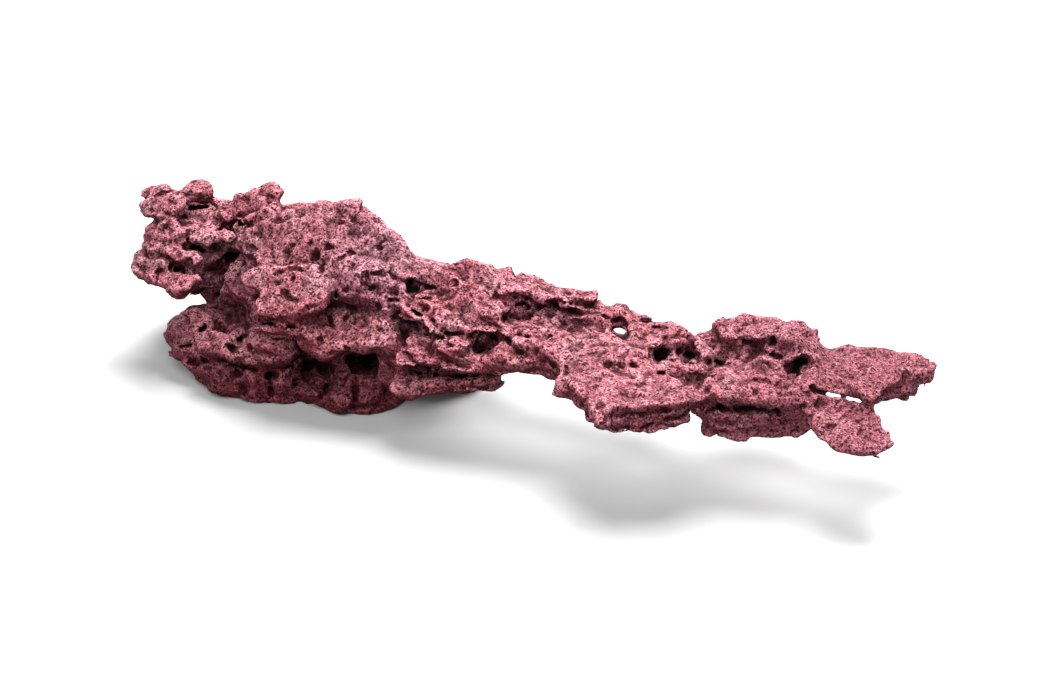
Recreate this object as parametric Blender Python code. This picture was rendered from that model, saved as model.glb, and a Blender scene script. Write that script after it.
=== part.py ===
"""Dry reef rock: a heavy lumpy foot that carries a long cantilevered shelf of thin stacked plates.

The rock is one solid. Its plates and lumps are modelled one by one, fused by a voxel remesh, weathered
with noise, cut by cracks and holes, and stood on a flat worn base. +X runs from the foot out along the
shelf, +Y points to the back and +Z up. The origin is at the middle of the base of the rock's box.

Outlines are read from the photograph, in pixels of its 1050 x 700 frame. Each is laid on the sloping
plane that the plate has in the real rock, so its height, slope and thickness are real sizes.
"""
import math

import bmesh
import bpy
from mathutils import Matrix, Vector, noise

MM = 0.001

# The view that the outlines are read from
VIEW_TARGET = Vector((18.0, -5.5, 46.0))  # mm, the point at the middle of the picture
VIEW_DISTANCE = 1250.0                  # mm
VIEW_AZIMUTH = math.radians(30.0)       # turned from the rock's broad side towards its tip
VIEW_ELEVATION = math.radians(27.0)
FOCAL_PIXELS = 2476.0
PICTURE_CENTRE = (525.0, 350.0)         # pixels

# Resolution and weathering of the solid
VOXEL = 1.7                             # mm, edge of the cells that fuse the forms
RIM_GROWTH = 1.0                        # mm, what a plate's rim loses again when it is fused
LEDGE_POINTS = 18                       # corners of a ledge's outline
LEDGE_WANDER = 0.55                     # how far its outline leaves the oval, as part of its size
LUMP_WANDER = 0.35                      # the same for a lump
TRIANGLES = 9400
HOLLOW_VOXEL = 1.5                      # mm, the same for the hollows that are cut out
HOLLOW_TAPER = 0.25                     # part of its width that a hollow loses along its length
NODE = "reef_rock"
ROCK_COLOUR = (0.29, 0.082, 0.10, 1.0)
ROCK_ROUGHNESS = 0.9
ROCK_METALLIC = 0.0

# Plates: name, height of the middle in mm, rise per mm along +X and +Y, thickness in mm, taper of the
# underside in mm, and the outline of the upper face in pixels
PLATES = (
    # The far end of the shelf
    ("tip_shelf", 64, 0.02, 0.05, 9, 3,
     [(806, 352), (822, 344), (840, 343), (857, 341), (870, 348), (895, 350), (905, 354), (918, 350),
      (930, 353), (936, 363), (937, 372), (912, 373), (886, 380), (876, 391), (868, 395), (850, 383),
      (830, 374), (815, 367)]),
    ("tip_under", 54, 0.0, 0.05, 5, 1,
     [(868, 388), (885, 378), (905, 374), (938, 372), (940, 376), (930, 381), (918, 387), (905, 393),
      (893, 397), (878, 396)]),
    ("toe_shelf", 53, -0.10, 0.12, 8, 3,
     [(800, 400), (806, 395), (822, 393), (845, 398), (868, 403), (881, 411), (885, 424), (893, 427),
      (895, 436), (888, 444), (872, 448), (858, 449), (840, 444), (822, 432), (808, 419), (802, 408)]),
    ("toe_root", 59, 0.0, 0.10, 12, 3,
     [(780, 375), (800, 368), (822, 370), (824, 384), (812, 396), (800, 402), (786, 398), (776, 386)]),
    # The deck of the shelf
    ("deck_right", 63, 0.0, 0.10, 9, 3,
     [(695, 332), (712, 324), (735, 319), (746, 317), (765, 320), (781, 322), (790, 326), (803, 325),
      (818, 331), (822, 345), (828, 372), (812, 388), (803, 400), (785, 398), (765, 401), (745, 398),
      (720, 397), (700, 395), (688, 398), (668, 388), (660, 368), (680, 350)]),
    ("deck_rear_ridge", 71, 0.0, 0.05, 8, 3,
     [(712, 323), (735, 316), (746, 314), (765, 318), (782, 320), (784, 328), (765, 336), (740, 338),
      (720, 336)]),
    ("deck_rear_knob", 71, -0.05, 0.1, 9, 3,
     [(783, 330), (791, 324), (803, 324), (819, 330), (821, 341), (812, 350), (798, 350), (786, 344)]),
    ("under_shelf", 47, 0.0, 0.06, 17, 4,
     [(692, 404), (720, 394), (770, 396), (810, 402), (812, 412), (800, 412), (780, 411), (760, 409),
      (742, 413), (722, 412), (706, 409)]),
    ("prow_top", 62, 0.0, 0.10, 9, 2,
     [(549, 377), (560, 368), (580, 361), (610, 356), (650, 360), (690, 383), (692, 397), (672, 402),
      (650, 404), (636, 403), (618, 402), (606, 409), (600, 416), (590, 409), (580, 397), (565, 387)]),
    ("prow_lower", 52, 0.0, 0.14, 8, 2,
     [(588, 403), (600, 397), (640, 397), (692, 398), (690, 406), (680, 411), (672, 415), (664, 422),
      (656, 427), (640, 426), (628, 421), (618, 425), (610, 423), (600, 415)]),
    ("neck_deck", 69, -0.03, 0.12, 9, 3,
     [(505, 320), (520, 308), (550, 307), (600, 309), (606, 303), (630, 302), (636, 308), (665, 321),
      (700, 329), (710, 345), (702, 362), (682, 366), (664, 352), (645, 360), (600, 360), (560, 362),
      (530, 347), (508, 340), (496, 330)]),
    ("neck_lip", 62, 0.0, 0.10, 11, 3,
     [(490, 345), (510, 342), (530, 348), (560, 348), (600, 350), (640, 356), (610, 366), (566, 362),
      (553, 359), (535, 360), (520, 358), (500, 356), (491, 353)]),
    ("upper_ledge", 82, -0.10, 0.10, 5, 1,
     [(488, 273), (500, 262), (515, 264), (528, 271), (544, 275), (548, 283), (570, 284), (597, 287),
      (597, 294), (592, 297), (606, 304), (580, 303), (550, 299), (525, 296), (512, 293), (500, 289)]),
    # The saddle between the foot and the shelf
    ("saddle_plate", 77, -0.06, 0.45, 10, 3,
     [(392, 300), (398, 281), (420, 260), (450, 257), (475, 260), (494, 264), (505, 275), (509, 298),
      (501, 316), (503, 325), (480, 327), (455, 329), (438, 325), (420, 317), (402, 308)]),
    ("saddle_step", 66, 0.0, 0.2, 7, 2,
     [(425, 332), (445, 328), (475, 331), (498, 330), (500, 338), (486, 341), (460, 343), (440, 340)]),
    ("ramp_plate", 55, -0.05, 0.35, 9, 3,
     [(390, 348), (402, 335), (440, 334), (475, 338), (490, 345), (494, 360), (502, 366), (490, 369),
      (455, 367), (430, 365), (410, 363), (394, 356)]),
    ("slab", 36, 0.0, 0.05, 11, 3,
     [(390, 380), (400, 368), (430, 360), (480, 360), (503, 369), (501, 378), (470, 379), (440, 381),
      (415, 384), (400, 387)]),
    # The crown and lips of the main mass
    ("crown", 87, -0.1, 0.80, 24, 6,
     [(252, 240), (256, 222), (275, 205), (300, 206), (325, 198), (360, 198), (372, 208), (386, 223),
      (399, 238), (420, 254), (440, 261), (420, 285), (390, 290), (340, 285), (300, 270), (262, 266),
      (250, 252)]),
    ("crest_lip", 70, 0.0, 0.75, 12, 3,
     [(235, 278), (245, 268), (258, 265), (275, 267), (300, 263), (318, 265), (328, 275), (324, 292),
      (316, 308), (300, 315), (275, 315), (256, 317), (250, 305), (255, 290), (241, 285)]),
    ("mid_face", 67, 0.0, 0.75, 16, 5,
     [(328, 262), (360, 258), (390, 262), (404, 275), (400, 300), (385, 314), (352, 318), (338, 306),
      (334, 285)]),
    ("brow_lip", 52, 0.0, 0.80, 14, 4,
     [(300, 325), (320, 311), (350, 315), (383, 310), (394, 328), (386, 344), (362, 348), (335, 350),
      (322, 355), (305, 349), (296, 342), (288, 330)]),
    ("under_crest", 53, 0.0, 0.3, 6, 2,
     [(250, 325), (262, 321), (300, 321), (320, 326), (310, 336), (285, 334), (262, 332), (250, 331)]),
    # The ears at the near end
    ("ear_left", 88, 0.05, 0.30, 8, 2,
     [(137, 201), (142, 189), (155, 186), (172, 185), (184, 190), (192, 200), (180, 208), (160, 209),
      (150, 209), (139, 206)]),
    ("ear_wing", 87, 0.05, 0.90, 9, 3,
     [(210, 200), (220, 195), (236, 192), (250, 188), (262, 182), (272, 179), (281, 182), (284, 190),
      (275, 200), (272, 212), (262, 224), (248, 222), (235, 226), (222, 218), (212, 208)]),
    ("ear_shelf", 75, 0.0, 0.45, 7, 2,
     [(176, 222), (186, 212), (210, 211), (224, 221), (233, 231), (230, 238), (215, 239), (203, 243),
      (192, 238), (182, 230)]),
    ("cheek", 61, 0.10, 0.90, 10, 2,
     [(129, 253), (133, 245), (150, 246), (170, 246), (188, 252), (200, 262), (202, 274), (194, 286),
      (182, 290), (168, 295), (159, 290), (149, 281), (139, 279), (134, 272), (128, 266)]),
    ("cheek_chip", 67, 0.0, 0.45, 5, 1,
     [(174, 257), (184, 249), (197, 250), (207, 259), (204, 264), (190, 266), (176, 264)]),
    ("low_ear", 24, 0.10, 0.90, 9, 2,
     [(161, 337), (166, 322), (180, 311), (190, 305), (202, 307), (206, 322), (203, 336), (196, 350),
      (180, 356), (167, 352), (161, 346)]),
    # The underside of the shelf, out of sight
    ("keel_neck", 56, -0.05, 0.05, 8, 4,
     [(500, 350), (530, 330), (600, 325), (650, 340), (690, 355), (680, 375), (640, 385), (590, 380),
      (540, 370)]),
    ("keel_deck", 54, 0.0, 0.05, 8, 4,
     [(660, 360), (700, 345), (760, 345), (800, 355), (815, 375), (790, 390), (740, 392), (690, 385)]),
)

# Lumps: name, pixel and height in mm of the middle, and radii in mm
LUMPS = (
    ("core_top", (325, 264), 60, (46, 32, 30)),
    ("core_middle", (315, 305), 36, (52, 32, 28)),
    ("core_back", (338, 285), 32, (46, 24, 28)),
    ("core_left", (240, 284), 20, (22, 17, 30)),
    ("core_left_top", (234, 246), 40, (18, 13, 18)),
    ("core_right", (395, 300), 50, (38, 26, 26)),
    ("crown_ridge", (338, 230), 82, (28, 17, 12)),
    ("crown_left", (276, 238), 76, (20, 15, 15)),
    ("crown_right", (372, 262), 73, (24, 15, 12)),
    ("face_bulge", (362, 288), 68, (25, 15, 16)),
    ("face_low", (340, 303), 58, (18, 11, 11)),
    ("saddle_core", (440, 305), 60, (44, 22, 13)),
    ("saddle_front", (415, 345), 44, (24, 16, 11)),
    ("post", (393, 371), 30, (8, 7, 14)),
    ("foot_core", (296, 350), 10, (52, 32, 20)),
    ("foot_right", (360, 362), 10, (32, 30, 22)),
    ("toe_a", (204, 371), 8, (10, 8, 8)),
    ("toe_b", (226, 378), 8, (11, 11, 11)),
    ("toe_c", (255, 382), 9, (11, 11, 14)),
    ("toe_d", (278, 383), 9, (12, 10, 12)),
    ("toe_e", (304, 388), 5, (12, 11, 10)),
    ("toe_f", (342, 391), 8, (17, 13, 13)),
    ("toe_g", (368, 394), 7, (14, 13, 13)),
    ("toe_h", (385, 390), 8, (10, 11, 12)),
    ("terrace_a", (215, 347), 26, (12, 9, 7)),
    ("terrace_b", (240, 350), 28, (16, 10, 8)),
    ("terrace_c", (272, 345), 33, (16, 10, 11)),
    ("knob", (199, 191), 89, (9, 9, 6)),
    ("ear_post", (170, 212), 77, (8, 8, 13)),
    ("ear_dome", (168, 242), 68, (10, 11, 12)),
    ("ear_root", (196, 222), 62, (16, 14, 16)),
    ("cheek_root", (194, 262), 46, (18, 14, 16)),
    ("wing_root", (248, 218), 74, (16, 12, 10)),
    ("low_root", (206, 325), 20, (14, 12, 12)),
    ("ledge_back", (556, 300), 70, (30, 7, 6)),
    ("knot_back", (614, 320), 68, (9, 7, 5)),
    ("neck_spine", (560, 333), 61, (60, 13, 6)),
    ("deck_spine", (690, 360), 56, (55, 16, 6)),
    ("under_root", (697, 398), 51, (9, 8, 6)),
    ("tip_spine", (805, 376), 56, (34, 12, 6)),
)

# Ledges of the hidden sides: name, middle of the upper face in mm, half length and half width in mm,
# thickness in mm, and rise per mm along +X and +Y
REAR_LEDGES = (
    ("heel_left", (-158, 15, 16), (30, 30), 18, 0.05, 0.0),
    ("heel_middle", (-114, 39, 14), (46, 26), 16, 0.0, 0.05),
    ("heel_right", (-66, 27, 17), (34, 26), 18, -0.05, 0.0),
    ("step_left", (-136, 41, 30), (34, 22), 12, 0.05, -0.1),
    ("step_right", (-78, 39, 33), (36, 22), 12, -0.1, -0.1),
    ("belly_left", (-170, 27, 42), (26, 26), 14, 0.1, -0.2),
    ("belly", (-120, 37, 47), (42, 24), 14, 0.0, -0.25),
    ("belly_right", (-62, 29, 49), (36, 20), 12, -0.1, -0.2),
    ("shoulder_left", (-172, 23, 60), (26, 18), 13, 0.1, -0.3),
    ("shoulder", (-128, 29, 66), (36, 20), 14, 0.0, -0.35),
    ("shoulder_right", (-82, 27, 62), (32, 18), 12, -0.15, -0.3),
    ("brow", (-114, 19, 78), (32, 15), 14, -0.05, -0.4),
    ("saddle_back", (-32, 19, 57), (32, 16), 11, -0.1, -0.1),
    ("saddle_under", (-16, 3, 47), (34, 20), 10, -0.1, 0.1),
    ("neck_back", (22, 17, 58), (32, 13), 8, 0.0, -0.1),
    ("neck_under", (66, 17, 56), (30, 14), 7, 0.0, 0.05),
    ("deck_back", (134, 37, 57), (38, 14), 7, 0.0, -0.1),
)

# Hollows: name, height in mm where the cut starts and where it ends, and its outline in pixels. A hollow
# runs along the line of sight.
HOLLOWS = (
    # Holes right through the shelf
    ("neck_window", 80, 30, [(499, 315), (515, 314), (531, 315), (531, 321), (515, 322), (500, 322)]),
    ("neck_eye", 80, 30, [(608, 326), (620, 326), (630, 332), (627, 340), (612, 338)]),
    ("toe_gap", 56, 30, [(808, 390), (826, 388), (848, 393), (868, 400), (856, 403), (836, 400)]),
    # Caves and slots
    ("ledge_slit", 80, 75, [(508, 293), (530, 294), (560, 298), (596, 303), (592, 307), (560, 304),
                            (530, 300), (510, 299)]),
    ("neck_cave", 80, 68, [(508, 303), (520, 299), (533, 304), (531, 313), (514, 312)]),
    ("knot_cave", 84, 76, [(603, 311), (614, 309), (625, 314), (624, 327), (606, 328)]),
    ("deck_eye", 74, 58, [(651, 353), (662, 347), (675, 350), (677, 360), (668, 368), (655, 371)]),
    ("deck_hollow", 72, 58, [(676, 348), (692, 347), (700, 354), (694, 365), (678, 364)]),
    ("deck_dimple", 70, 58, [(708, 356), (722, 355), (730, 362), (722, 370), (709, 368)]),
    ("deck_crack", 70, 54, [(783, 374), (796, 360), (812, 352), (816, 358), (803, 368), (790, 388)]),
    ("ramp_slot", 48, 26, [(403, 367), (412, 364), (440, 368), (470, 371), (500, 373), (496, 378),
                           (470, 378), (430, 380), (404, 378)]),
    ("ramp_recess", 66, 40, [(462, 343), (486, 341), (492, 344), (490, 357), (476, 352), (464, 349)]),
    ("saddle_notch", 84, 66, [(404, 282), (412, 276), (418, 286), (450, 285), (450, 292), (430, 293),
                              (406, 294)]),
    ("saddle_slit", 72, 52, [(442, 330), (470, 330), (500, 327), (510, 338), (500, 343), (470, 337)]),
    ("saddle_crack", 72, 56, [(409, 309), (420, 314), (436, 322), (432, 326), (416, 320), (407, 314)]),
    ("brow_cave_left", 40, 8, [(296, 353), (318, 358), (332, 362), (334, 376), (322, 392), (304, 390),
                               (294, 376)]),
    ("brow_cave_right", 44, 16, [(336, 352), (362, 350), (380, 349), (380, 372), (366, 378), (345, 370)]),
    ("pit_a", 86, 80, [(299, 247), (312, 246), (325, 252), (324, 262), (308, 262)]),
    ("pit_b", 76, 66, [(326, 288), (336, 286), (339, 298), (334, 306), (324, 308)]),
    ("crest_gap", 54, 34, [(254, 317), (280, 316), (306, 320), (300, 327), (276, 328), (256, 327)]),
    ("wing_cave", 76, 50, [(230, 221), (242, 220), (252, 224), (250, 233), (232, 234)]),
    ("knob_slot", 88, 68, [(182, 206), (200, 206), (217, 206), (222, 212), (205, 212), (184, 211)]),
    ("shelf_gap", 72, 50, [(184, 236), (196, 242), (208, 246), (226, 240), (232, 246), (214, 254),
                           (200, 252), (186, 248)]),
    ("cheek_pit", 68, 52, [(166, 263), (184, 264), (190, 270), (178, 277), (166, 272)]),
    ("terrace_cave", 38, 18, [(228, 346), (240, 332), (250, 331), (250, 338), (234, 352)]),
    ("foot_pit", 24, 14, [(257, 370), (276, 369), (292, 373), (284, 379), (262, 377)]),
    # Grooves between the toes
    ("toe_groove_a", 26, 6, [(209, 360), (218, 360), (222, 379), (215, 381)]),
    ("toe_groove_b", 26, 2, [(236, 364), (245, 366), (247, 394), (240, 392)]),
    ("toe_groove_c", 24, 2, [(264, 374), (272, 375), (276, 402), (268, 404)]),
    ("toe_groove_d", 22, 0, [(291, 380), (299, 381), (303, 404), (295, 405)]),
    ("toe_groove_e", 20, 0, [(318, 388), (330, 380), (336, 386), (323, 406)]),
    ("toe_groove_f", 24, 2, [(351, 378), (360, 382), (359, 402), (351, 402)]),
)


def view_axes():
    """Right, up and towards the viewer, for the view of the outlines."""
    sin_a, cos_a = math.sin(VIEW_AZIMUTH), math.cos(VIEW_AZIMUTH)
    sin_e, cos_e = math.sin(VIEW_ELEVATION), math.cos(VIEW_ELEVATION)
    right = Vector((cos_a, sin_a, 0))
    back = Vector((sin_a * cos_e, -cos_a * cos_e, sin_e))
    return right, back.cross(right), back


RIGHT, UP, BACK = view_axes()
EYE = VIEW_TARGET + BACK * VIEW_DISTANCE


def sight_line(pixel):
    """The direction from the eye through a pixel."""
    across = (pixel[0] - PICTURE_CENTRE[0]) / FOCAL_PIXELS
    down = (pixel[1] - PICTURE_CENTRE[1]) / FOCAL_PIXELS
    return RIGHT * across - UP * down - BACK


def on_plane(pixel, point, normal):
    """The point in mm where a pixel's sight line meets a plane."""
    line = sight_line(pixel)
    return EYE + line * ((point - EYE).dot(normal) / line.dot(normal))


def on_level(pixel, height):
    return on_plane(pixel, Vector((0, 0, height)), Vector((0, 0, 1)))


def add_slab(bm, rim, normal, thickness, taper):
    """A closed slab below a rim of points, widest a third of the way down."""
    centre = sum(rim, Vector()) / len(rim)
    rings = []
    for inset, depth in ((0.5, 0.0), (-RIM_GROWTH, thickness * 0.35), (taper, thickness)):
        ring = [p + (centre - p).normalized() * inset - normal * depth for p in rim]
        rings.append([bm.verts.new(p * MM) for p in ring])
    faces = [bm.faces.new(rings[0]), bm.faces.new(reversed(rings[-1]))]
    for upper, lower in zip(rings, rings[1:]):
        for i in range(len(rim)):
            j = (i + 1) % len(rim)
            faces.append(bm.faces.new((upper[i], lower[i], lower[j], upper[j])))
    bmesh.ops.recalc_face_normals(bm, faces=faces)


def add_plate(bm, height, rise_x, rise_y, thickness, taper, outline):
    """A slab whose upper face fills the outline, on the plate's sloping plane."""
    middle = Vector((sum(p[0] for p in outline), sum(p[1] for p in outline))) / len(outline)
    normal = Vector((-rise_x, -rise_y, 1)).normalized()
    anchor = on_level(middle, height)
    rim = [on_plane(pixel, anchor, normal) for pixel in outline]
    add_slab(bm, rim, normal, thickness, taper)


def add_ledge(bm, middle, half_sizes, thickness, rise_x, rise_y):
    """A slab with a wandering oval outline."""
    centre = Vector(middle)
    rim = []
    for i in range(LEDGE_POINTS):
        angle = math.tau * i / LEDGE_POINTS
        ray = Vector((math.cos(angle), math.sin(angle), 0))
        reach = 1.0 + LEDGE_WANDER * noise.noise(ray * 1.6 + centre)
        across, along = ray.x * half_sizes[0] * reach, ray.y * half_sizes[1] * reach
        rim.append(centre + Vector((across, along, rise_x * across + rise_y * along)))
    normal = Vector((-rise_x, -rise_y, 1)).normalized()
    add_slab(bm, rim, normal, thickness, thickness * 0.3)


def add_lump(bm, middle, radii):
    """An ellipsoid with a wandering surface."""
    place = Matrix.Translation(middle * MM)
    size = Matrix.Diagonal(Vector(radii) * MM).to_4x4()
    ball = bmesh.ops.create_icosphere(bm, subdivisions=4, radius=1.0)["verts"]
    for vert in ball:
        reach = 1.0 + LUMP_WANDER * noise.noise(vert.co * 1.8 + middle)
        vert.co = place @ size @ (vert.co * reach)


def add_hollow(bm, start, end, outline):
    """A prism along the line of sight, between two heights, narrower at its far end."""
    near = [bm.verts.new(on_level(pixel, start) * MM) for pixel in outline]
    far = [on_level(pixel, end) * MM for pixel in outline]
    centre = sum(far, Vector()) / len(far)
    far = [bm.verts.new(point.lerp(centre, HOLLOW_TAPER)) for point in far]
    faces = [bm.faces.new(near), bm.faces.new(reversed(far))]
    for i in range(len(outline)):
        j = (i + 1) % len(outline)
        faces.append(bm.faces.new((near[i], far[i], far[j], near[j])))
    bmesh.ops.recalc_face_normals(bm, faces=faces)


def object_from(bm, name):
    mesh = bpy.data.meshes.new(name)
    bm.to_mesh(mesh)
    bm.free()
    obj = bpy.data.objects.new(name, mesh)
    bpy.context.scene.collection.objects.link(obj)
    return obj


def settle(obj):
    """Replaces the object's mesh by what its modifiers make of it."""
    graph = bpy.context.evaluated_depsgraph_get()
    made = bpy.data.meshes.new_from_object(obj.evaluated_get(graph))
    obj.modifiers.clear()
    obj.data = made


def fuse(obj, voxel):
    remesh = obj.modifiers.new("fuse", "REMESH")
    remesh.mode = "VOXEL"
    remesh.voxel_size = voxel * MM
    remesh.adaptivity = 0
    settle(obj)


def keep_largest_part(obj):
    """Drops loose crumbs and the walls of sealed hollows."""
    bm = bmesh.new()
    bm.from_mesh(obj.data)
    bm.verts.ensure_lookup_table()
    parts, seen = [], set()
    for start in bm.verts:
        if start.index in seen:
            continue
        part, queue = [], [start]
        seen.add(start.index)
        while queue:
            vert = queue.pop()
            part.append(vert)
            for edge in vert.link_edges:
                other = edge.other_vert(vert)
                if other.index not in seen:
                    seen.add(other.index)
                    queue.append(other)
        parts.append(part)
    parts.sort(key=len)
    loose = [vert for part in parts[:-1] for vert in part]
    bmesh.ops.delete(bm, geom=loose, context="VERTS")
    bm.to_mesh(obj.data)
    bm.free()


def thin_out(obj, triangles):
    thin = obj.modifiers.new("thin", "DECIMATE")
    thin.ratio = triangles / sum(len(face.vertices) - 2 for face in obj.data.polygons)
    settle(obj)


def soften(obj, rounds):
    smooth = obj.modifiers.new("soften", "SMOOTH")
    smooth.factor = 0.5
    smooth.iterations = rounds
    settle(obj)


def drift(place):
    """A smooth random vector, the same at the same place each time."""
    return Vector([noise.noise(place + Vector(shift)) for shift in ((0, 0, 0), (57, 0, 9), (8, 71, 0))])


def weather(obj):
    """Moves every vertex by noise at two scales, so that straight rims turn ragged and flat faces lumpy."""
    verts = [(vert.co.copy(), vert.normal.copy()) for vert in obj.data.vertices]
    moved = []
    for point, normal in verts:
        place = point / MM
        coarse = drift(place / 24.0)
        fine = drift(place / 8.0)
        beds = noise.noise(Vector((place.x / 30.0, place.y / 30.0, place.z / 5.0)))
        ledge = normal * beds * 3.0 * (1.0 - abs(normal.z))
        moved.extend(point + (coarse * 2.2 + fine * 1.4 + ledge) * MM)
    obj.data.vertices.foreach_set("co", moved)
    obj.data.update()


def subtract(obj, cutter):
    cutter.hide_render = True
    cutter.display_type = "WIRE"
    cut = obj.modifiers.new(cutter.name, "BOOLEAN")
    cut.operation = "DIFFERENCE"
    cut.solver = "EXACT"
    cut.object = cutter
    settle(obj)
    bpy.data.objects.remove(cutter)


def cut_hollows(rock):
    bm = bmesh.new()
    for name, *form in HOLLOWS:
        add_hollow(bm, *form)
    hollows = object_from(bm, "hollows")
    fuse(hollows, HOLLOW_VOXEL)
    subtract(rock, hollows)


def stand_on_base(rock):
    """Cuts the foot off flat at the floor."""
    bm = bmesh.new()
    floor = Matrix.Translation((0, 0, -0.05)) @ Matrix.Diagonal((1, 1, 0.1, 1))
    bmesh.ops.create_cube(bm, size=1.0, matrix=floor)
    subtract(rock, object_from(bm, "floor"))


def rough_forms():
    """All plates, lumps and ledges, still separate shells."""
    bm = bmesh.new()
    for name, *form in PLATES:
        add_plate(bm, *form)
    for name, pixel, height, radii in LUMPS:
        add_lump(bm, on_level(pixel, height), radii)
    for name, *form in REAR_LEDGES:
        add_ledge(bm, *form)
    return object_from(bm, NODE)


def coralline_limestone():
    """Matt limestone with a purple-pink crust."""
    stone = bpy.data.materials.new("coralline_limestone")
    stone.use_nodes = True
    shader = stone.node_tree.nodes["Principled BSDF"]
    shader.inputs["Base Color"].default_value = ROCK_COLOUR
    shader.inputs["Roughness"].default_value = ROCK_ROUGHNESS
    shader.inputs["Metallic"].default_value = ROCK_METALLIC
    return stone


def build():
    for obj in list(bpy.data.objects):
        bpy.data.objects.remove(obj)
    rock = rough_forms()
    fuse(rock, VOXEL)
    soften(rock, 1)
    cut_hollows(rock)
    fuse(rock, VOXEL)
    weather(rock)
    fuse(rock, VOXEL)
    keep_largest_part(rock)
    thin_out(rock, TRIANGLES)
    stand_on_base(rock)
    keep_largest_part(rock)
    rock.data.materials.clear()
    rock.data.materials.append(coralline_limestone())
    return rock


build()
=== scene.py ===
"""The looks of a dry reef rock: cemented reef limestone under a purple-pink coralline crust.

The solid of the frame is turned into a field of distances, the crust's lumps, ledges, pits and cracks
are worked into that field, and the result is meshed again. Lengths are millimetres where nothing else is
said. A drift is a random field with a spread of 1 and about one lump to each of its spacings.
"""

import math

import bmesh
import bpy
import numpy as np
import openvdb as vdb
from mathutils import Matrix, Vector


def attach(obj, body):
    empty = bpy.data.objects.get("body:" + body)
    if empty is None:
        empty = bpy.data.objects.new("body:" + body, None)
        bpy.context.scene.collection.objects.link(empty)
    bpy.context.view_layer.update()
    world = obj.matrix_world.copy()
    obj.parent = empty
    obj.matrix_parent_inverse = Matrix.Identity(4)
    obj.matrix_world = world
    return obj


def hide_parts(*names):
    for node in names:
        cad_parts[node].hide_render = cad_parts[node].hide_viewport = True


MM = 0.001  # in m
FAR = 1e9  # farther than anything is

# The camera of the photograph
TARGET = np.array((18.0, -5.5, 46.0))
DISTANCE = 1250.0
AZIMUTH = math.radians(30)
ELEVATION = math.radians(27)
FOCAL_PIXELS = 2476.0
PICTURE = (1050, 700)  # pixels
SENSOR = 36.0
NEAREST = 0.05  # m
PIXEL = DISTANCE / FOCAL_PIXELS  # what one pixel spans on the rock

# Its directions: from the rock to the camera, and to the right and up in the picture
BACK = np.array((
    math.sin(AZIMUTH) * math.cos(ELEVATION),
    -math.cos(AZIMUTH) * math.cos(ELEVATION),
    math.sin(ELEVATION),
))
RIGHT = np.array((math.cos(AZIMUTH), math.sin(AZIMUTH), 0.0))
UP = np.cross(BACK, RIGHT)

# The field and the mesh
STEP = 0.9  # between samples
BAND = 9  # samples that the distances reach on each side of the surface
WELD = 1e-6  # m, corners of the solid nearer than this are one
BLUR_ENDS = 2.5  # spreads after which a blur's weights stop
SPARE_LUMPS = 5  # that a drift has more than fit along a side
SOFTENING = 1.0  # spread of the blur that takes the solid's facets away
TRIANGLES = 190000

# How rough the crust is from place to place: middle, change with its drift and the drift's limits
ROUGH_MIDDLE = 0.75
ROUGH_CHANGE = 0.3
ROUGH_LIMITS = (-1.2, 1.5)
ROUGH_SPACING = (34.0, 34.0, 26.0)
ROUGH_SEED = 5

# Lumps of the crust: spacing (x, y, z), height, seed; and the part of the height that is used
LUMPS = {
    "knuckles": ((13.0, 13.0, 9.0), 0.9, 11),
    "bedding": ((19.0, 19.0, 4.2), 1.3, 12),
    "crumbs": ((5.0, 5.0, 3.4), 1.3, 13),
    "granules": ((2.3, 2.3, 2.1), 0.9, 14),
}
LUMP_PART = 0.6

# Thin beds: the height of one, how far its rim stands out, how sharply it swells towards that rim and
# the part of the rim by which it starts below the plain surface
BED = 6.5
RIM = 2.4
RIM_SHARPNESS = 1.6
RIM_SINK = 0.4

# How the beds rise and fall: height, spacing, seed
BED_WAVES = (
    (3.0, (38.0, 38.0, 30.0), 41),
    (0.5, (4.0, 4.0, 4.0), 42),
)

# How strong the beds are: middle, change with a drift and the most; then from where along +X and over
# what length they grow from their part on the foot to their full strength on the shelf
BED_MIDDLE = 0.55
BED_CHANGE = 0.5
BED_MOST = 1.3
BED_SPACING = (22.0, 22.0, 9.0)
BED_SEED = 43
SHELF_START = -70.0
SHELF_GROWTH = 50
FOOT_PART = 0.35

# Pits: spacing, how rare (in spreads of their drift), depth, seed
PITS = {
    "boreholes": ((8.0, 8.0, 5.0), 2.5, 2.6, 21),
    "sponge": ((3.0, 3.0, 2.4), 1.35, 1.5, 22),
}
PIT_SLOPE = 0.3  # fall of a pit's wall, as part of its spacing, for one spread of its drift
PIT_GAIN = 0.5  # how much less rare pits are on crust that is rougher than PIT_PLAIN
PIT_PLAIN = 0.6

# How a crack is cut. Its walls wander by the sum of some drifts (height, spacing, seed), less where it
# is narrow: by a least part and a part for each pixel of its half width. Its floor is a bowl: the part
# of the depth in the middle, the least at the rim, and the pixels by which it is wider than the crack.
CRACK_WANDER = (
    (0.8, (5.0, 5.0, 3.0), 31),
    (0.48, (2.6, 2.6, 2.0), 32),
)
WANDER_LEAST = 0.4
WANDER_GAIN = 0.3
BOWL_MIDDLE = 1.1
BOWL_RIM = 0.15
BOWL_WIDER = 1
CRACK_MARGIN = 6  # pixels around a crack that are looked at
SKIN_CELL = 2  # pixels, cells of the map of the surface that the camera meets

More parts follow.
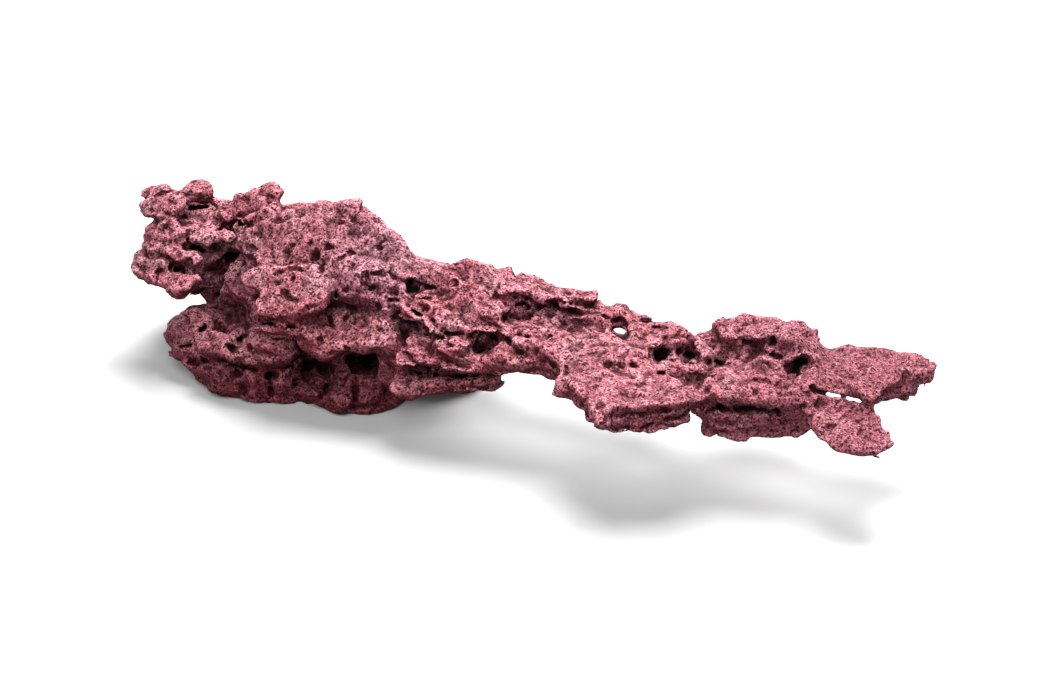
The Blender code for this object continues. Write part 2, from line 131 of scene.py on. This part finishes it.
# Cracks and gaps drawn on the photograph: depth, half width in pixels, points in pixels
CRACKS = {
    "ramp_slot": (18, 3.8, ((408, 371), (422, 372), (436, 374))),
    "ramp_slot_end": (12, 1.6, ((436, 374), (453, 377), (472, 375), (496, 376))),
    "saddle_slit": (5, 1.9, ((446, 333), (455, 333), (468, 335))),
    "saddle_slit_end": (5, 1.1, ((468, 335), (480, 330), (491, 327))),
    "saddle_cleft": (9, 2.4, ((494, 337), (509, 341))),
    "neck_nick": (5, 1.5, ((518, 335), (529, 337))),
    "saddle_crack": (6, 1.5, ((408, 309), (423, 317), (434, 321))),
    "saddle_seam": (5, 1.4, ((419, 334), (443, 338))),
    "face_nick": (5, 1.9, ((388, 299), (398, 301))),
    "saddle_notch": (7, 2.2, ((411, 281), (409, 291), (417, 289))),
    "saddle_line_a": (5, 1.6, ((426, 287), (448, 288))),
    "saddle_line_b": (3, 1.1, ((416, 299), (430, 298))),
    "saddle_line_c": (3, 1.1, ((440, 296), (449, 292))),
    "ledge_slit_a": (5, 2.2, ((509, 294), (526, 298))),
    "ledge_slit_b": (5, 1.3, ((526, 298), (537, 300), (548, 301))),
    "ledge_slit_c": (5, 1.8, ((546, 301), (570, 303), (593, 306))),
    "ledge_nick_a": (2, 1.3, ((560, 292), (568, 293))),
    "ledge_nick_b": (2, 1.3, ((579, 292), (592, 295))),
    "neck_cave": (6, 4.2, ((511, 306), (527, 308))),
    "neck_window": (90, 2.6, ((503, 318), (515, 317), (529, 319))),
    "knot_cave": (2.5, 4.0, ((610, 318), (616, 320))),
    "knot_window": (60, 2.6, ((614, 330), (624, 332))),
    "deck_cave": (6, 6.0, ((658, 356), (668, 360))),
    "deck_window": (60, 2.2, ((674, 360), (677, 360))),
    "deck_window_b": (60, 1.6, ((657, 374), (663, 373))),
    "deck_cave_b": (5, 4.5, ((680, 352), (694, 357))),
    "deck_dimple": (4, 4.5, ((714, 360), (724, 363))),
    "ridge_crack": (1.2, 1.5, ((650, 326), (658, 328), (667, 332))),
    "prow_nick_a": (5, 1.6, ((655, 410), (668, 409))),
    "prow_nick_b": (6, 2.2, ((640, 428), (653, 423))),
    "deck_undercut": (4, 3.0, ((706, 404), (715, 405), (745, 406), (775, 409), (804, 406))),
    "deck_cleft": (7, 2.5, ((787, 386), (798, 377))),
    "tip_gap": (30, 1.6, ((828, 395), (844, 396))),
    "tip_gap_front": (8, 2.8, ((805, 386), (818, 391), (828, 394))),
    "tip_gap_rear": (7, 2.2, ((846, 397), (862, 401))),
    "neck_step": (4, 2.0, ((551, 363), (556, 367))),
    "crest_gap_a": (12, 3.2, ((258, 319), (273, 318))),
    "crest_gap_b": (10, 2.4, ((258, 325), (273, 324))),
    "crest_gap_c": (6, 1.2, ((281, 326), (294, 327))),
    "low_ear_cleft": (7, 2.4, ((200, 331), (206, 325))),
    "low_ear_seam": (4, 1.0, ((181, 347), (191, 345))),
    "terrace_cave": (10, 5.0, ((231, 348), (240, 341), (246, 335))),
    "foot_cave_b": (8, 2.5, ((318, 366), (324, 369))),
    "foot_cave_c": (8, 2.2, ((330, 385), (334, 377))),
    "foot_cave_d": (6, 6.0, ((369, 366), (376, 371))),
    "toe_gap_a": (3, 3.5, ((214, 363), (219, 372), (217, 381))),
    "toe_gap_b": (4, 4.0, ((236, 368), (242, 380), (245, 395))),
    "toe_gap_c": (4, 3.5, ((268, 376), (272, 388), (271, 402))),
    "toe_gap_d": (3, 3.5, ((293, 384), (298, 394), (300, 404))),
    "toe_gap_e": (4, 4.0, ((318, 402), (325, 393), (333, 385))),
    "toe_gap_f": (3, 3.0, ((355, 380), (356, 392), (354, 406))),
    "foot_band": (8, 3.0, ((204, 360), (220, 366), (236, 365), (254, 369))),
    "ear_notch": (40, 3.5, ((160, 364), (184, 364), (194, 362))),
    "crest_shade": (6, 3.5, ((258, 333), (270, 337), (284, 338))),
    "toe_notch": (30, 2.5, ((196, 392), (206, 393), (212, 391))),
    "foot_nick": (6, 2.2, ((282, 368), (291, 366))),
    "brow_seam": (5, 1.3, ((295, 356), (311, 357))),
    "face_slit": (6, 1.6, ((337, 290), (336, 297))),
    "crown_dent": (2, 4.0, ((304, 254), (318, 255))),
    "whorl_top": (1.5, 2.2, ((276, 275), (284, 271), (296, 269), (308, 274))),
    "whorl_low": (1.5, 1.8, ((282, 290), (288, 297), (297, 300))),
    "mid_pits": (1.5, 3.0, ((362, 279), (375, 273), (390, 275), (398, 281))),
    "brow_pit": (3, 1.4, ((327, 320), (331, 323))),
    "wing_cave": (10, 4.0, ((234, 226), (246, 225))),
    "knob_slot": (8, 1.8, ((191, 209), (204, 207), (214, 208))),
    "shelf_gap": (9, 2.6, ((212, 242), (230, 239))),
    "shelf_gap_b": (9, 3.0, ((188, 238), (196, 246), (204, 252))),
    "cheek_pit": (6, 4.0, ((172, 268), (180, 271))),
    "wall_shade": (5, 2.5, ((256, 258), (260, 263))),
}

# How hidden a point of the surface is, by how much stone lies within this reach of it; the crust's
# colours paint shade by it into nooks and caves
SHADE_REACH = {"cranny_shade": 1.6, "hollow": 5.0}

# Patterns of the crust: size of a feature, detail, fineness. The real grain goes down to about 0.3 mm,
# which is under a pixel, so it is drawn at 1 mm, two pixels wide.
PATTERNS = {
    "patch": (71.43, 2.0, 0.5),
    "mottle": (16.67, 5.0, 0.5),
    "crumb": (2.632, 3.0, 0.65),
    "grain": (1.0526, 3.0, 0.7),
}
PORE_SIZE = 1.7857
PORE_EDGE = (-0.12, 0.08)  # of a pore, in its pattern's own distance
PORE_SHADE = 0.9  # how much of the crust's colour the painted shade in an open pore hides

# The lilac patch on top of the main mass, and how far its edge and the tip's wander with the patches
LILAC_PLACE = (-62.0, -14.0, 78.0)
LILAC_WANDER = 50.0
TIP_WANDER = 100.0

# The crust's plain colour, from the darkest mottles to the lightest
MOTTLES = ((0.3, "#93414d"), (0.5, "#c4707b"), (0.7, "#dc9aa4"))

# How the colours fade in: the values between which they do, and how much covers at each of the two
FADES = {
    "tinted": (0.45, 0.70, 0.0, 0.40),  # patches
    "lilac": (62 * MM, 27.9 * MM, 0.0, 0.75),  # towards the lilac patch
    "cranny_shade": (0.32, 0.64, 0.0, 1.0),  # painted shade in nooks
    "open": (0.55, 0.35, 0.0, 1.0),  # out of nooks, where the painted light on upward faces may fall
    "level": (0.25, 0.95, 0.0, 0.50),  # painted light on faces that look up
    "painted_side_shade": (0.45, -0.5, 0.0, 0.92),  # painted shade on faces that look to the side or down
    "low": (45 * MM, 15 * MM, 0.0, 0.65),  # painted shadow of the overhang, towards the base
    "near": (-20 * MM, -55 * MM, 0.0, 1.0),  # painted shadow of the overhang, towards the foot
    "tip": (145 * MM, 215 * MM, 0.0, 0.60),  # towards the tip
    "hollow": (0.5, 0.8, 0.0, 1.0),  # near black painted shade in caves
    "speckle": (0.40, 0.60, 0.26, 1.50),  # brightness of the grains
    "pore_width": (0.40, 0.60, 0.02, 0.52),  # pores are wide in some crumbs and shut in others
}

# The colours that cover the plain one, each over those before it. The patches, the lilac patch and the
# tip are the crust's own colours; the others are painted shade in nooks, on faces that look to the side
# or down, on the foot under the overhang and in caves, and painted light on faces that look up.
COVERS = (
    ("tinted", "#a87f8b"),
    ("lilac", "#c095a4"),
    ("cranny_shade", "#3e0913"),
    ("painted_top_light", "#d88e99"),
    ("painted_side_shade", "#571722"),
    ("painted_foot_shadow", "#5c1b26"),
    ("tip", "#8f4d59"),
    ("hollow", "#140104"),
)
# Painted shade in the open pores
PORE_SHADE_COLOUR = "#2a0409"

# The crust's finest relief: its height, and the parts that crumbs and pores have in it beside the grain
BUMP_HEIGHT = 3.0
CRUMB_PART = 1.4
PORE_PART = -0.7
CRUST_ROUGHNESS = 0.92
CRUST_SHINE = 0.12

# The paper floor: half its width in m, and where it turns from grey to white, in m from the middle
FLOOR_HALF = 3.0
PAPER_FADE = (0.9, 1.8)
PAPER_GREY = "#a6a6a6"
PAPER_WHITE = "#fafafa"

# The studio: strength of the air's light, and the lamps. A lamp stands so many m to the right, nearer
# to the camera and up; then the height that it aims at and its width, both in m, and its watts.
AIR_LIGHT = 0.50
LAMPS = {
    "key": (0.80, -1.05, 1.05, 0.03, 0.9, 66),
    "above": (0.10, -0.25, 1.40, 0.03, 0.8, 45),
    "front": (-0.3, 1.1, 1.1, 0.05, 1.2, 30),
}


def linear(code):
    """An sRGB hex colour as linear RGBA."""
    parts = [int(code[i:i + 2], 16) / 255 for i in (1, 3, 5)]
    return [c / 12.92 if c <= 0.04045 else ((c + 0.055) / 1.055) ** 2.4 for c in parts] + [1.0]


def distance_field(node):
    """Signed distances to the solid on a grid, negative inside, and the grid's first index."""
    body = bmesh.new()
    body.from_mesh(node.data)
    bmesh.ops.remove_doubles(body, verts=body.verts, dist=WELD)
    bmesh.ops.triangulate(body, faces=body.faces)
    points = np.array([v.co for v in body.verts], np.float32) / MM
    corners = np.array([[v.index for v in f.verts] for f in body.faces], np.uint32)
    body.free()
    scale = vdb.createLinearTransform(voxelSize=STEP)
    grid = vdb.FloatGrid.createLevelSetFromPolygons(
        points, triangles=corners, transform=scale, halfWidth=BAND)
    low, high = grid.evalActiveVoxelBoundingBox()
    shape = [int(b - a) + 1 for a, b in zip(low, high)]
    field = np.zeros(shape, np.float32)
    grid.copyToArray(field, ijk=low)
    return field, np.array(low)


def smooth(field, reach):
    """A Gaussian blur with this spread."""
    spread = reach / STEP
    taps = int(math.ceil(BLUR_ENDS * spread))
    weights = np.exp(-0.5 * (np.arange(-taps, taps + 1) / spread) ** 2)
    weights = (weights / weights.sum()).astype(np.float32)
    for axis in range(3):
        padding = [(0, 0)] * 3
        padding[axis] = (taps, taps)
        wide = np.pad(field, padding, mode="edge")
        total = np.zeros_like(field)
        for i, weight in enumerate(weights):
            cut = [slice(None)] * 3
            cut[axis] = slice(i, i + field.shape[axis])
            total += weight * wide[tuple(cut)]
        field = total
    return field


def drift(shape, spacing, seed):
    """A smooth random field: chance values one spacing apart, joined by a cubic B-spline."""
    chance = np.random.default_rng(seed)
    pitch = [s / STEP for s in spacing]
    lumps = [int(n / p) + SPARE_LUMPS for n, p in zip(shape, pitch)]
    field = chance.standard_normal(lumps).astype(np.float32)
    for axis in range(3):
        place = np.arange(shape[axis]) / pitch[axis] + chance.uniform(0, 1)
        cell = place.astype(int)
        t = (place - cell).astype(np.float32)
        weights = ((1 - t) ** 3 / 6, (3 * t ** 3 - 6 * t ** 2 + 4) / 6,
                   (-3 * t ** 3 + 3 * t ** 2 + 3 * t + 1) / 6, t ** 3 / 6)
        spread = [1, 1, 1]
        spread[axis] = -1
        field = sum(np.take(field, cell + k, axis) * w.reshape(spread) for k, w in enumerate(weights))
    return field / field.std()


def places_along(axis, shape, low):
    """Where the field's samples lie along an axis, ready to be combined with the field."""
    spread = [1, 1, 1]
    spread[axis] = -1
    return ((np.arange(shape[axis]) + low[axis]) * STEP).reshape(spread)


def pixel_of(points):
    """Where points lie on the photograph, and how far from the camera."""
    away = points - TARGET
    depth = DISTANCE - away @ BACK
    x = PICTURE[0] / 2 + FOCAL_PIXELS * (away @ RIGHT) / depth
    y = PICTURE[1] / 2 - FOCAL_PIXELS * (away @ UP) / depth
    return x, y, depth


def line_distance(x, y, points):
    """Distance in pixels to a line through the points."""
    best = np.full(x.shape, FAR, np.float32)
    for (ax, ay), (bx, by) in zip(points, points[1:]):
        dx, dy = bx - ax, by - ay
        t = np.clip(((x - ax) * dx + (y - ay) * dy) / (dx * dx + dy * dy), 0, 1)
        best = np.minimum(best, np.hypot(x - ax - t * dx, y - ay - t * dy))
    return best


def cut_cracks(field, low):
    """Cuts each crack along the sight line, to its depth under the surface that the camera meets."""
    samples = np.indices(field.shape).reshape(3, -1).T
    x, y, depth = pixel_of((samples + low) * STEP)
    value = field.ravel()
    ragged = sum(most * drift(field.shape, spacing, seed).ravel() for most, spacing, seed in CRACK_WANDER)
    columns, rows = PICTURE[0] // SKIN_CELL, PICTURE[1] // SKIN_CELL
    column, row = (x / SKIN_CELL).astype(int), (y / SKIN_CELL).astype(int)
    stone = value < 0
    front = np.full((rows, columns), FAR)
    np.minimum.at(front, (row[stone], column[stone]), depth[stone])
    skin = front[np.clip(row, 0, rows - 1), np.clip(column, 0, columns - 1)]
    for deep, half_width, points in CRACKS.values():
        margin = half_width + CRACK_MARGIN
        left, top = np.min(points, axis=0) - margin
        right, bottom = np.max(points, axis=0) + margin
        inside = (x > left) & (x < right) & (y > top) & (y < bottom)
        wander = ragged[inside] * (WANDER_LEAST + WANDER_GAIN * half_width)
        off = line_distance(x[inside], y[inside], points)
        side = (off - half_width) * PIXEL + wander
        bowl = np.clip(BOWL_MIDDLE - (off / (half_width + BOWL_WIDER)) ** 2, BOWL_RIM, 1)
        floor = depth[inside] - skin[inside] - deep * bowl + wander
        value[inside] = np.maximum(value[inside], -np.maximum(side, floor))
    return value.reshape(field.shape)


def beds(shape, low):
    """How far the thin beds stand out: each swells up to a sharp rim and steps back above it."""
    height = places_along(2, shape, low).astype(np.float32)
    for rise, spacing, seed in BED_WAVES:
        height = height + rise * drift(shape, spacing, seed)
    layer = height / BED
    climb = layer - np.floor(layer)
    strong = np.clip(BED_MIDDLE + BED_CHANGE * drift(shape, BED_SPACING, BED_SEED), 0.0, BED_MOST)
    along = places_along(0, shape, low).astype(np.float32)
    strong *= np.clip((along - SHELF_START) / SHELF_GROWTH, FOOT_PART, 1.0)
    return RIM * strong * (climb ** RIM_SHARPNESS - RIM_SINK)


def crusted(field, low):
    """The field with the crust's relief, cut level at the base."""
    shape = field.shape
    field = smooth(field, SOFTENING) - beds(shape, low)
    rough = ROUGH_MIDDLE + ROUGH_CHANGE * np.clip(drift(shape, ROUGH_SPACING, ROUGH_SEED), *ROUGH_LIMITS)
    for spacing, height, seed in LUMPS.values():
        field += height * rough * drift(shape, spacing, seed) * LUMP_PART
    for spacing, rare, deep, seed in PITS.values():
        hole = rare - PIT_GAIN * (rough - PIT_PLAIN) - drift(shape, spacing, seed)
        hole = hole * spacing[0] * PIT_SLOPE
        field = np.maximum(field, np.minimum(-hole, field + deep))
    field = cut_cracks(field, low)
    return np.maximum(field, -places_along(2, shape, low)).astype(np.float32)


def connected(points, faces):
    """The faces of the largest piece."""
    label = np.arange(len(points))
    a, b, c = faces.T
    while True:
        least = np.minimum(np.minimum(label[a], label[b]), label[c])
        before = label.copy()
        for corner in (a, b, c):
            np.minimum.at(label, corner, least)
        label = label[label]
        if (label == before).all():
            break
    owner = label[a]
    values, counts = np.unique(owner, return_counts=True)
    return faces[owner == values[counts.argmax()]]


def sampled(field, low, points):
    """The field's value at points, by the nearest sample."""
    at = np.rint(points / STEP).astype(int) - low
    at = np.clip(at, 0, np.array(field.shape) - 1)
    return field[tuple(at.T)]


def meshed(field, low):
    """Points and triangles of the surface where the field is nought, facing outwards."""
    grid = vdb.FloatGrid(float(BAND * STEP))
    grid.copyFromArray(field, ijk=tuple(int(i) for i in low))
    grid.transform = vdb.createLinearTransform(voxelSize=STEP)
    points, triangles, quads = grid.convertToPolygons(isovalue=0.0, adaptivity=0.0)
    faces = np.concatenate([triangles, quads[:, [0, 1, 2]], quads[:, [0, 2, 3]]]).astype(np.int64)
    faces = connected(points, faces)
    used, index = np.unique(faces, return_inverse=True)
    return points[used], index.reshape(-1, 3)


def mesh_object(name, points, faces):
    """An object with these points and triangles."""
    mesh = bpy.data.meshes.new(name)
    mesh.vertices.add(len(points))
    mesh.vertices.foreach_set("co", (points * MM).astype(np.float32).ravel())
    mesh.loops.add(faces.size)
    mesh.loops.foreach_set("vertex_index", faces.astype(np.int32).ravel())
    mesh.polygons.add(len(faces))
    mesh.polygons.foreach_set("loop_start", np.arange(0, faces.size, 3, dtype=np.int32))
    mesh.update(calc_edges=True)
    mesh.validate()
    piece = bpy.data.objects.new(name, mesh)
    bpy.context.scene.collection.objects.link(piece)
    return piece


def thin_out(piece, part):
    """Leaves this part of the object's triangles, where they matter most."""
    thin = piece.modifiers.new("thin", "DECIMATE")
    thin.ratio = part
    seen = piece.evaluated_get(bpy.context.evaluated_depsgraph_get())
    mesh = bpy.data.meshes.new_from_object(seen)
    piece.modifiers.clear()
    piece.data = mesh


def make_rock(node):
    """The crusted rock, with how hidden and how level it is kept at each point for its colours, which
    paint shade into nooks, caves and side faces and light onto faces that look up.
    """
    field, low = distance_field(node)
    field = crusted(field, low)
    points, faces = meshed(field, low)
    piece = mesh_object("reef_rock_crust", points, faces)
    thin_out(piece, min(1.0, TRIANGLES / len(faces)))
    mesh = piece.data
    place = np.zeros(len(mesh.vertices) * 3, np.float32)
    mesh.vertices.foreach_get("co", place)
    place = place.reshape(-1, 3) / MM
    normals = np.zeros(len(mesh.vertices) * 3, np.float32)
    mesh.vertices.foreach_get("normal", normals)
    solid = np.clip(0.5 - field / (2 * STEP), 0, 1)  # 1 in the stone and 0 in the air
    looks = {name: sampled(smooth(solid, reach), low, place) for name, reach in SHADE_REACH.items()}
    looks["upward"] = normals.reshape(-1, 3)[:, 2]
    for name, values in looks.items():
        layer = mesh.attributes.new(name, "FLOAT", "POINT")
        layer.data.foreach_set("value", values.astype(np.float32))
    mesh.polygons.foreach_set("use_smooth", [True] * len(mesh.polygons))
    return piece


def add_node(tree, kind, settings=None, inputs=None, stops=()):
    """Adds a node with its settings, its inputs (a socket is linked) and the stops of its colours."""
    node = tree.nodes.new(kind)
    for key, value in (settings or {}).items():
        setattr(node, key, value)
    for key, value in (inputs or {}).items():
        if isinstance(value, bpy.types.NodeSocket):
            tree.links.new(value, node.inputs[key])
        else:
            node.inputs[key].default_value = value
    if stops:
        band = node.color_ramp.elements
        for at, code in stops:
            band.new(at).color = linear(code)
        band.remove(band[0])
        band.remove(band[-1])
    return node


def coralline_crust():
    """Coralline limestone crust, grown and weathered.

    It looks matt, granular and pink on its edges. Its colours paint shade into it: maroon in its nooks,
    on faces that look to the side or down and on the foot under the overhang, and near black in its caves
    and open pores. They also paint light onto faces that look up.
    """
    material = bpy.data.materials.new("coralline_limestone_weathered")
    material.use_nodes = True
    tree = material.node_tree
    tree.nodes.clear()
    place = add_node(tree, "ShaderNodeTexCoord").outputs["Object"]
    spot = add_node(tree, "ShaderNodeSeparateXYZ", {}, {"Vector": place}).outputs
    seen = {name: add_node(tree, "ShaderNodeAttribute", {"attribute_name": name}).outputs["Fac"]
            for name in ("cranny_shade", "hollow", "upward")}
    for name, (size, detail, fineness) in PATTERNS.items():
        seen[name] = add_node(tree, "ShaderNodeTexNoise", {}, {
            "Vector": place, "Scale": 1 / (size * MM), "Detail": detail, "Roughness": fineness,
        }).outputs["Fac"]
    pores = add_node(tree, "ShaderNodeTexVoronoi", {"feature": "F1"}, {
        "Vector": place, "Scale": 1 / (PORE_SIZE * MM), "Randomness": 1.0,
    }).outputs["Distance"]
    away = add_node(tree, "ShaderNodeVectorMath", {"operation": "DISTANCE"}, {
        0: place, 1: [c * MM for c in LILAC_PLACE],
    }).outputs["Value"]
    away = add_node(tree, "ShaderNodeMath", {"operation": "MULTIPLY_ADD"}, {
        0: seen["patch"], 1: LILAC_WANDER * MM, 2: away,
    }).outputs["Value"]
    along = add_node(tree, "ShaderNodeMath", {"operation": "MULTIPLY_ADD"}, {
        0: seen["patch"], 1: TIP_WANDER * MM, 2: spot["X"],
    }).outputs["Value"]

    cover = {}
    for name, value in (
        ("tinted", seen["patch"]), ("lilac", away), ("cranny_shade", seen["cranny_shade"]), ("open", seen["cranny_shade"]),
        ("level", seen["upward"]), ("painted_side_shade", seen["upward"]), ("low", spot["Z"]), ("near", spot["X"]),
        ("tip", along), ("hollow", seen["hollow"]), ("speckle", seen["grain"]),
        ("pore_width", seen["crumb"]),
    ):
        start, end, at_start, at_end = FADES[name]
        cover[name] = add_node(tree, "ShaderNodeMapRange", {}, {
            "Value": value, "From Min": start, "From Max": end, "To Min": at_start, "To Max": at_end,
        }).outputs["Result"]
    # Painted light on upward faces out of nooks, and painted shadow of the overhang low on the foot
    for name, first, second in (("painted_top_light", "level", "open"), ("painted_foot_shadow", "low", "near")):
        cover[name] = add_node(tree, "ShaderNodeMath", {"operation": "MULTIPLY"}, {
            0: cover[first], 1: cover[second],
        }).outputs["Value"]
    pores = add_node(tree, "ShaderNodeMath", {"operation": "SUBTRACT"}, {
        0: pores, 1: cover["pore_width"],
    }).outputs["Value"]
    pores = add_node(tree, "ShaderNodeMapRange", {}, {
        "Value": pores, "From Min": PORE_EDGE[0], "From Max": PORE_EDGE[1], "To Min": 1.0, "To Max": 0.0,
    }).outputs["Result"]
    # Painted shade in the open pores, as the share of the crust's colour that it hides
    pore_shade = add_node(tree, "ShaderNodeMath", {"operation": "MULTIPLY"}, {
        0: pores, 1: PORE_SHADE,
    }).outputs["Value"]

    colour = add_node(tree, "ShaderNodeValToRGB", {}, {"Fac": seen["mottle"]}, MOTTLES).outputs["Color"]
    layers = [("MIX", cover[name], linear(code)) for name, code in COVERS]
    layers += [("MULTIPLY", 1.0, cover["speckle"]), ("MIX", pore_shade, linear(PORE_SHADE_COLOUR))]
    for kind, amount, over in layers:
        colour = add_node(tree, "ShaderNodeMix", {"data_type": "RGBA", "blend_type": kind}, {
            "Factor": amount, "A": colour, "B": over,
        }).outputs["Result"]

    height = seen["grain"]
    for value, part in ((seen["crumb"], CRUMB_PART), (pores, PORE_PART)):
        height = add_node(tree, "ShaderNodeMath", {"operation": "MULTIPLY_ADD"}, {
            0: value, 1: part, 2: height,
        }).outputs["Value"]
    bump = add_node(tree, "ShaderNodeBump", {}, {
        "Strength": 1.0, "Distance": BUMP_HEIGHT * MM, "Height": height,
    })
    shader = add_node(tree, "ShaderNodeBsdfPrincipled", {}, {
        "Base Color": colour, "Roughness": CRUST_ROUGHNESS, "Metallic": 0.0,
        "Specular IOR Level": CRUST_SHINE, "Normal": bump.outputs["Normal"],
    })
    add_node(tree, "ShaderNodeOutputMaterial", {}, {"Surface": shader.outputs["BSDF"]})
    return material


def paper_floor():
    """Matt studio paper: pale grey under the rock, white where it runs out of the light."""
    material = bpy.data.materials.new("studio_paper_matt")
    material.use_nodes = True
    tree = material.node_tree
    tree.nodes.clear()
    place = add_node(tree, "ShaderNodeTexCoord").outputs["Object"]
    away = add_node(tree, "ShaderNodeVectorMath", {"operation": "LENGTH"}, {0: place}).outputs["Value"]
    far = add_node(tree, "ShaderNodeMapRange", {}, {
        "Value": away, "From Min": PAPER_FADE[0], "From Max": PAPER_FADE[1],
    }).outputs["Result"]
    colour = add_node(tree, "ShaderNodeMix", {"data_type": "RGBA"}, {
        "Factor": far, "A": linear(PAPER_GREY), "B": linear(PAPER_WHITE),
    }).outputs["Result"]
    shader = add_node(tree, "ShaderNodeBsdfPrincipled", {}, {
        "Base Color": colour, "Roughness": 1.0, "Specular IOR Level": 0.0,
    })
    add_node(tree, "ShaderNodeOutputMaterial", {}, {"Surface": shader.outputs["BSDF"]})
    return material


def make_floor():
    """The studio's paper, under the rock."""
    mesh = bpy.data.meshes.new("floor")
    corners = ((-1, -1), (1, -1), (1, 1), (-1, 1))
    mesh.from_pydata([(x * FLOOR_HALF, y * FLOOR_HALF, 0) for x, y in corners], [], [(0, 1, 2, 3)])
    mesh.materials.append(paper_floor())
    floor = bpy.data.objects.new("floor", mesh)
    bpy.context.scene.collection.objects.link(floor)


def make_studio():
    """Soft studio light: the air and three round lamps."""
    scene = bpy.context.scene
    world = bpy.data.worlds.new("studio_air")
    world.use_nodes = True
    world.node_tree.nodes["Background"].inputs["Color"].default_value = (1, 1, 1, 1)
    world.node_tree.nodes["Background"].inputs["Strength"].default_value = AIR_LIGHT
    scene.world = world
    scene.view_settings.view_transform = "Standard"
    scene.view_settings.look = "None"
    ground = np.array((BACK[0], BACK[1], 0.0))
    ground /= np.linalg.norm(ground)
    for name, (right, nearer, up, aim, width, watts) in LAMPS.items():
        lamp = bpy.data.lights.new(name, "AREA")
        lamp.shape = "DISK"
        lamp.size = width
        lamp.energy = watts
        light = bpy.data.objects.new(name, lamp)
        light.location = right * RIGHT + nearer * ground + np.array((0, 0, up))
        light.rotation_mode = "QUATERNION"
        light.rotation_quaternion = (Vector((0, 0, aim)) - light.location).to_track_quat("-Z", "Y")
        scene.collection.objects.link(light)


def make_camera():
    """The photograph's camera."""
    lens = bpy.data.cameras.new("camera")
    lens.sensor_width = SENSOR
    lens.lens = FOCAL_PIXELS * SENSOR / PICTURE[0]
    lens.clip_start = NEAREST
    camera = bpy.data.objects.new("camera", lens)
    camera.location = (TARGET + BACK * DISTANCE) * MM
    camera.rotation_mode = "QUATERNION"
    camera.rotation_quaternion = Vector(-BACK).to_track_quat("-Z", "Y")
    bpy.context.scene.collection.objects.link(camera)
    bpy.context.scene.camera = camera


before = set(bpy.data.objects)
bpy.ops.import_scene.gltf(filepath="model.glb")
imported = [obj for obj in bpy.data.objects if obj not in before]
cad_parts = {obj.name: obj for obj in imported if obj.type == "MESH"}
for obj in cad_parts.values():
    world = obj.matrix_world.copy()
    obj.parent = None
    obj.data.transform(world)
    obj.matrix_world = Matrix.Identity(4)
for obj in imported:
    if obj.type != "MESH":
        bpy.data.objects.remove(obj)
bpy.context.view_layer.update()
rock = make_rock(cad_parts["reef_rock"])
rock.data.materials.clear()
rock.data.materials.append(coralline_crust())
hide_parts("reef_rock")
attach(rock, "root")
make_floor()
make_studio()
make_camera()
